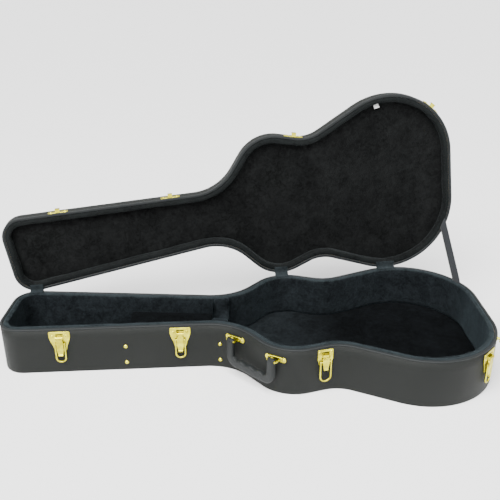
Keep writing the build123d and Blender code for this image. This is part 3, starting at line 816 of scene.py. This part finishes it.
tape, tree, shader = material("woven tape", Roughness=0.8, Specular_IOR_Level=0.3, Sheen_Weight=0.15)
weave = use_group(tree, "tape weave")
place = node(tree, "ShaderNodeTexCoord")
tree.links.new(place.outputs["UV"], weave.inputs["Vector"])
tint(tree, shader, weave.outputs["Tone"], (0.0040, 0.0050, 0.0066), (0.0130, 0.0158, 0.0195))
relief(tree, shader, weave.outputs["Height"], 0.0004)


def ribbon(name, path, side, width, thickness, across=7):
    """A flat band along a path: each row runs across the band on one face and back on
    the other, with its edges drawn in to a half round. UV is in metres along it."""
    path, side = np.asarray(path, float), np.asarray(side, float)
    run = np.gradient(path, axis=0)
    run /= np.linalg.norm(run, axis=1)[:, None]
    side = side - run * (side * run).sum(axis=1)[:, None]
    side /= np.linalg.norm(side, axis=1)[:, None]
    face = np.cross(run, side)
    s = np.linspace(-1, 1, across)
    u = np.r_[s, s[::-1]]
    v = np.r_[np.full(across, 0.5), np.full(across, -0.5)] * np.where(np.abs(u) > 0.99, 0.35, 1.0)
    rows = [
        place + np.outer(u * width / 2, b) + np.outer(v * thickness, f)
        for place, b, f in zip(path, side, face)
    ]
    length = np.r_[0, np.cumsum(np.linalg.norm(np.diff(path, axis=0), axis=1))]
    uv = [np.c_[u * width / 2, np.full(len(u), d)] * MM for d in length]
    return loft(name, rows, uv=np.vstack(uv)), length[-1]


tab_low, tab_high = (np.array(c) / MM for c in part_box("compartment_pull_tab"))
tab_middle = (tab_low + tab_high) / 2
turn = np.linspace(0, math.pi, 9)
tab_loop = np.vstack([
    np.c_[np.full(4, -TAB_LAYER), np.linspace(*TAB_LEG, 4)],
    np.c_[-TAB_LAYER * np.cos(turn), TAB_TURN[0] + TAB_TURN[1] * np.sin(turn)],
    np.c_[np.full(4, TAB_LAYER), np.linspace(*TAB_LEG[::-1], 4)],
])
count = len(tab_loop)
tab_path = np.c_[np.full(count, tab_middle[0]), tab_middle[1] + tab_loop[:, 0], tab_low[2] + tab_loop[:, 1]]
tab_side = np.tile((1.0, 0, 0), (count, 1))
tab, tab_length = ribbon("pull_tab_tape", tab_path, tab_side, TAB_WIDTH, TAB_THICKNESS)
settle(tab, "compartment_lid", tape, "strap", "compartment_pull_tab")

# ---- Stay strap ------------------------------------------------------------
# Woven tape nailed inside both rims near the tail. It stops the lid just past
# upright, and is made as it hangs with the lid open.


def opened_way(direction):
    """A direction on the closed lid, as it points when the lid stands open."""
    tip, root = opened(np.array([direction, (0, 0, 0)], float))
    return tip - root


STAY_INSET = 9.0
STAY_WIDTH = 20.5
STAY_THICKNESS = 1.5
STAY_TUCK = 7.0
STAY_EXITS = (SEAM - 0.6, SEAM + 0.9)   # where it leaves the two linings
stay_turn = math.radians(26.5)
lower_bout = np.array([ROUNDS[-1, 0], ROUNDS[-1, 1] - ROUNDS[-1, 2]])
stay_out = np.array([math.cos(stay_turn), math.sin(stay_turn)])
stay_at = lower_bout + stay_out * (ROUNDS[-1, 2] - STAY_INSET)
stay_low = np.array([*stay_at, STAY_EXITS[0]])
stay_high = opened(np.array([[*stay_at, STAY_EXITS[1]]]))[0]
low_dir = np.array([0, 0, 1.0])
high_dir = opened_way(low_dir)
low_side = np.array([-stay_out[1], stay_out[0], 0])
high_side = opened_way(low_side)
t = np.linspace(0, 1, 25)[:, None]
stay_run = stay_low * (1 - t) + stay_high * t
stay_path = np.vstack([stay_low - low_dir * STAY_TUCK, stay_run, stay_high + high_dir * STAY_TUCK])
stay_side = np.vstack([low_side, low_side * (1 - t) + high_side * t, high_side])
stay, stay_length = ribbon("stay_strap_tape", stay_path, stay_side, STAY_WIDTH, STAY_THICKNESS)
stay.data.materials.append(tape)
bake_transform(stay)
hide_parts("stay_strap")

# ---- Hinge covers ----------------------------------------------------------
# Short pieces of the plush glued over each hinge inside, from one rim to the
# other, so no metal shows from the front. They are made as they lie with the lid open.

COVER_WIDTHS = (30.0, 32.0, 46.0)
COVER_THICKNESS = 0.9
COVER_ROUNDS = (0, 2, 4)    # the outline's rounds that the hinges sit on
COVER_RUN = (15.0, 4.0)     # from its glued end to its fold, in from the outline
COVER_LIFT = 1.7            # how far the fold stands off the rim; the glued end lies lower
COVER_SLOPE = 0.1
for number, (cover_width, arc) in enumerate(zip(COVER_WIDTHS, COVER_ROUNDS), start=1):
    middle = np.mean([np.array(c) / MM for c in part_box(f"hinge_base_leaf_{number}")], axis=0)
    foot = HINGE_POINT + HINGE_AXIS * ((middle - HINGE_POINT) @ HINGE_AXIS)
    back = np.array([-HINGE_AXIS[1], HINGE_AXIS[0], 0])
    arc_centre = np.array([ROUNDS[arc, 0], ROUNDS[arc, 1] - ROUNDS[arc, 2]])
    inside = foot[:2] @ back[:2] - (arc_centre @ back[:2] + ROUNDS[arc, 2])
    t = np.linspace(*COVER_RUN, 6)
    lift = np.outer(COVER_LIFT - (t - COVER_RUN[1]) * COVER_SLOPE, (0, 0, 1.0))
    rim = foot - np.outer(t + inside, back)
    lower = rim + lift
    upper = opened(rim - lift)[::-1]
    cover_path = np.vstack([lower, (lower[-1:] + upper[:1]) / 2, upper])
    cover, cover_length = ribbon(
        f"hinge_cover_{number}", cover_path, np.tile(HINGE_AXIS, (len(cover_path), 1)),
        cover_width, COVER_THICKNESS, across=15,
    )
    # Painted sheen, most of the rims' tops' share, as the covers lie over the rim.
    paint_sheen_share(cover, 0.75)
    cover.data.materials.append(wall_plush)
    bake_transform(cover)

# ---- Care tag --------------------------------------------------------------
# A small blank woven label sewn into the seam between the lid's board and wall.

label, tree, shader = material("blank label", Roughness=0.75)
weave = use_group(tree, "tape weave")
place = node(tree, "ShaderNodeTexCoord")
tree.links.new(place.outputs["UV"], weave.inputs["Vector"])
tint(tree, shader, weave.outputs["Tone"], (0.70, 0.70, 0.68), (0.88, 0.88, 0.86))
relief(tree, shader, weave.outputs["Height"], 0.0001)

TAG_X = 880.0 - CASE_HALF
TAG_WIDTH = 12.0
TAG_LENGTH = 11.0
TAG_THICKNESS = 0.4
TAG_SKEW = 2.0
TAG_TOP = SEAM + LID_CEILING - 2.2
TAG_CURL = 2.4
tag_t = np.linspace(0, 1, 8)
tag_edge = -half_width(TAG_X) + LINING_FACE + 0.6
tag_path = np.c_[
    TAG_X + TAG_SKEW * tag_t, tag_edge + TAG_LENGTH * tag_t, TAG_TOP - TAG_CURL * np.sin(tag_t * 2.4)
]
tag_side = np.tile(HINGE_AXIS, (8, 1))
tag, tag_length = ribbon("care_tag_label", opened(tag_path), tag_side, TAG_WIDTH, TAG_THICKNESS)
settle(tag, "lid", label, "tag", "care_tag")

# ---- Brass hardware --------------------------------------------------------
# Stamped and plated parts: hinge leaves, latch plates and their levers and wire
# bails, strikes, handle brackets, rivets, nails and the end stud.

tree, given, result = group(
    "handled plating",
    {"Vector": "NodeSocketVector"},
    {"Tone": "NodeSocketFloat", "Height": "NodeSocketFloat"},
)
smudge = node(tree, "ShaderNodeTexNoise", Scale=70.0, Detail=4.0, Roughness=0.6)
brushed = node(tree, "ShaderNodeMapping", Scale=(2600, 2600, 160))
hairs = node(tree, "ShaderNodeTexNoise", Scale=1.0, Detail=2.0)
tree.links.new(given.outputs["Vector"], smudge.inputs["Vector"])
tree.links.new(given.outputs["Vector"], brushed.inputs["Vector"])
tree.links.new(brushed.outputs["Vector"], hairs.inputs["Vector"])
contrast = node(tree, "ShaderNodeMapRange", **{"From Min": 0.3, "From Max": 0.72})
tree.links.new(smudge.outputs["Fac"], contrast.inputs["Value"])
tree.links.new(contrast.outputs["Result"], result.inputs["Tone"])
tree.links.new(hairs.outputs["Fac"], result.inputs["Height"])


def plated(name, low, high, smooth, rough):
    """Plated metal, from low and rough where it is smudged to high and smooth."""
    made, tree, shader = material(name, Metallic=1.0)
    place = node(tree, "ShaderNodeTexCoord")
    wear = use_group(tree, "handled plating")
    tree.links.new(place.outputs["Object"], wear.inputs["Vector"])
    tint(tree, shader, wear.outputs["Tone"], low, high)
    spread(tree, wear.outputs["Tone"], rough, smooth, shader.inputs["Roughness"])
    relief(tree, shader, wear.outputs["Height"], 0.00006, 0.5)
    return made


brass = plated("plated brass", (0.40, 0.345, 0.012), (0.76, 0.71, 0.060), smooth=0.24, rough=0.38)
BRASS_NODES = (
    "latch_", "hinge_", "handle_bracket", "handle_eye", "base_rivets", "lid_rivets", "end_stud",
)
for name in frame["nodes"]:
    if name.startswith(BRASS_NODES):
        dress(name, brass)

# ---- Rolled edges of the handle brackets -----------------------------------
# The top edge of each bracket is folded out and rolled round, which stiffens the
# thin plate over the bar. It is the same brass as the rest.

BRACKET_STATIONS = (502.0 - CASE_HALF, 582.6 - CASE_HALF)
BRACKET_REACH = 22.0
FOLD_HALF = 17.0
FOLD_RADIUS = 1.25
FOLD_OUT = 2.7
BRACKET_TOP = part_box("handle_bracket_1")[1][2] / MM
turn = np.linspace(0, 2 * math.pi, 12, endpoint=False)
for number, station in enumerate(BRACKET_STATIONS, start=1):
    slope = (half_width(station + 1) - half_width(station - 1)) / 2
    spots = station + np.array((-1, 0, 1)) * BRACKET_REACH / math.hypot(1, slope)
    wall = np.c_[spots, -half_width(spots), np.full(3, BRACKET_TOP - FOLD_RADIUS + 0.1)]
    along = (wall[2] - wall[0]) / np.linalg.norm(wall[2] - wall[0])
    out = np.cross(along, (0, 0, 1.0))
    bulge = max(0.0, (wall[1] - wall[0]) @ out)
    middle = wall[0] + along * ((wall[1] - wall[0]) @ along) + out * (bulge + FOLD_OUT)
    stations = np.linspace(-FOLD_HALF, FOLD_HALF, 18)
    slim = np.sqrt(np.clip(1 - (np.abs(stations) / FOLD_HALF) ** 8, 0.05, 1)) * FOLD_RADIUS
    fold_rows = [
        middle + along * s + np.outer(np.cos(turn) * r, out) + np.outer(np.sin(turn) * r, (0, 0, 1.0))
        for s, r in zip(stations, slim)
    ]
    fold = loft(f"handle_bracket_fold_{number}", fold_rows)
    settle(fold, "base", brass, "brass")

# ---- Carrying handle -------------------------------------------------------
# A moulded U with a flexible core, its ends rolled round metal eyes that turn on
# the brackets' bars. The grip is a rounded box in section, with finger swells.

eyes = [np.mean([np.array(c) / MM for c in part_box(f"handle_eye_{n}")], axis=0) for n in (1, 2)]
grip_run = eyes[1] - eyes[0]
GRIP_SPAN = np.linalg.norm(grip_run)
grip_dir = grip_run / GRIP_SPAN
grip_face = np.cross(grip_dir, (0, 0, 1.0))
GRIP_DROP = 47.5
GRIP_CORNER = 17.0
GRIP_HALF = (9.4, 6.0)
GRIP_POWER = 0.5
GRIP_TOP = 5.7              # the legs end this far above the eyes
EYE_ROUND = 6.0             # and round off over this height
FINGER = 25.0
FINGER_SWELL = 0.16

turn = np.linspace(math.pi, 1.5 * math.pi, 9)
corner = np.c_[GRIP_CORNER * (1 + np.cos(turn)), -GRIP_DROP + GRIP_CORNER * (1 + np.sin(turn))]
leg = np.c_[np.zeros(9), np.linspace(GRIP_TOP, -GRIP_DROP + GRIP_CORNER + 3, 9)]
bar = np.c_[np.linspace(GRIP_CORNER + 3, GRIP_SPAN / 2, 15)[:-1], np.full(14, -GRIP_DROP)]
half_path = np.vstack([leg, corner, bar])
far_half = (half_path * (-1, 1) + (GRIP_SPAN, 0))[::-1]
grip_path = np.vstack([half_path, [(GRIP_SPAN / 2, -GRIP_DROP)], far_half])
run = np.gradient(grip_path, axis=0)
run /= np.linalg.norm(run, axis=1)[:, None]
inward = np.c_[-run[:, 1], run[:, 0]]
# it grows a little wider and thicker on its way down
drop_share = np.clip(-grip_path[:, 1] / GRIP_DROP, 0, 1)
wide = GRIP_HALF[0] * (0.92 + 0.10 * drop_share)
eye_round = np.sqrt(np.clip(1 - (np.clip(grip_path[:, 1], 0, EYE_ROUND) / EYE_ROUND) ** 2, 0.04, 1))
thick = GRIP_HALF[1] * eye_round * (0.9 + 0.1 * drop_share)
turn = np.linspace(0, 2 * math.pi, 28, endpoint=False)
cross_u, cross_v = fuller(np.cos(turn), GRIP_POWER), fuller(np.sin(turn), GRIP_POWER)
along_bar = np.clip((drop_share - 0.85) / 0.15, 0, 1)
finger_turn = 2 * math.pi * (grip_path[:, 0] - GRIP_SPAN / 2) / FINGER
fingers = 1 + FINGER_SWELL * along_bar * np.cos(finger_turn)
grip_rows = []
for p, side, w, h, swell in zip(grip_path, inward, wide, thick, fingers):
    flat = p + np.outer(cross_u * w * np.where(cross_u > 0, swell, 1), side)
    section = np.outer(flat[:, 0], grip_dir) + np.outer(flat[:, 1], (0, 0, 1.0))
    grip_rows.append(eyes[0] + section + np.outer(cross_v * h, grip_face))
grip = loft("handle_grip_moulding", grip_rows)
moulded = leathercloth(
    "moulded grip", (0.0095, 0.0108, 0.0108), (0.0150, 0.0168, 0.0168), pebble=1100.0, rough=0.40,
    depth=0.00009,
)
settle(grip, "handle", moulded, "handle", "handle_grip")

# ---- Studio ----------------------------------------------------------------
# A pale floor and backdrop, two large soft lamps and a broad overhead light. The
# camera stands in front of the handle side and looks down into the base.

FLOOR_HALF = 40000.0
floor_corners = FLOOR_HALF * np.array([(-1, -1, 0), (1, -1, 0), (1, 1, 0), (-1, 1, 0)])
floor_mesh = surface("studio_floor", floor_corners, [(0, 1, 2, 3)], smooth=False, closed=False)
pale = material(
    "pale floor", Base_Color=(0.93, 0.93, 0.93, 1), Roughness=0.9, Specular_IOR_Level=0.1
)[0]
floor_mesh.data.materials.append(pale)

SKY = (0.025, 0.15)         # strength at the horizon and overhead
BACKDROP = 1.9
REFLECTED = 0.6             # share of the backdrop that shows in the metal
world = bpy.data.worlds.new("soft sky")
bpy.context.scene.world = world
world.use_nodes = True
sky = world.node_tree
place = node(sky, "ShaderNodeTexCoord")
split = node(sky, "ShaderNodeSeparateXYZ")
sky.links.new(place.outputs["Generated"], split.inputs["Vector"])
dim = sky.nodes["Background"]
dim.inputs["Color"].default_value = (1, 1, 1, 1)
spread(sky, split.outputs["Z"], *SKY, dim.inputs["Strength"])
backdrop = node(sky, "ShaderNodeBackground", Color=(1, 1, 1, 1), Strength=BACKDROP)
rays = node(sky, "ShaderNodeLightPath")
seen = scaled(sky, rays.outputs["Is Glossy Ray"], REFLECTED, rays.outputs["Is Camera Ray"])
either = node(sky, "ShaderNodeMixShader")
sky.links.new(seen, either.inputs[0])
sky.links.new(dim.outputs["Background"], either.inputs[1])
sky.links.new(backdrop.outputs["Background"], either.inputs[2])
sky.links.new(either.outputs["Shader"], sky.nodes["World Output"].inputs["Surface"])


def lamp(name, place, aim, size, power):
    """A square lamp at place, tilted and turned so that it faces aim."""
    data = bpy.data.lights.new(name, "AREA")
    data.size = size
    data.energy = power
    made = bpy.data.objects.new(name, data)
    bpy.context.collection.objects.link(made)
    made.location = place
    look = np.array(aim, float) - np.array(place, float)
    tilt = math.atan2(math.hypot(look[0], look[1]), -look[2])
    made.rotation_euler = (tilt, 0, math.atan2(-look[0], look[1]))


lamp("key", (-1.4, -2.0, 2.6), (0.0, 0.0, 0.1), size=1.8, power=95)
lamp("fill", (2.0, -1.6, 1.6), (0.2, 0.0, 0.1), size=1.6, power=32)
sun_data = bpy.data.lights.new("overhead", "SUN")
sun_data.energy = 9.5
sun_data.angle = math.radians(60)
sun = bpy.data.objects.new("overhead", sun_data)
bpy.context.collection.objects.link(sun)
sun.rotation_euler = (math.radians(28), math.radians(-12), 0)

CAMERA_PLACE = (-0.0031, -1.278, 0.8101)
CAMERA_YAW = 0.48
CAMERA_PITCH = -23.78
SENSOR = 36.0
LENS = 47.52
camera_data = bpy.data.cameras.new("camera")
camera_data.sensor_width = SENSOR
camera_data.lens = LENS
camera = bpy.data.objects.new("camera", camera_data)
bpy.context.collection.objects.link(camera)
camera.matrix_world = (
    Matrix.Translation(CAMERA_PLACE)
    @ Matrix.Rotation(math.radians(-CAMERA_YAW), 4, "Z")
    @ Matrix.Rotation(math.radians(90 + CAMERA_PITCH), 4, "X")
)
bpy.context.scene.camera = camera
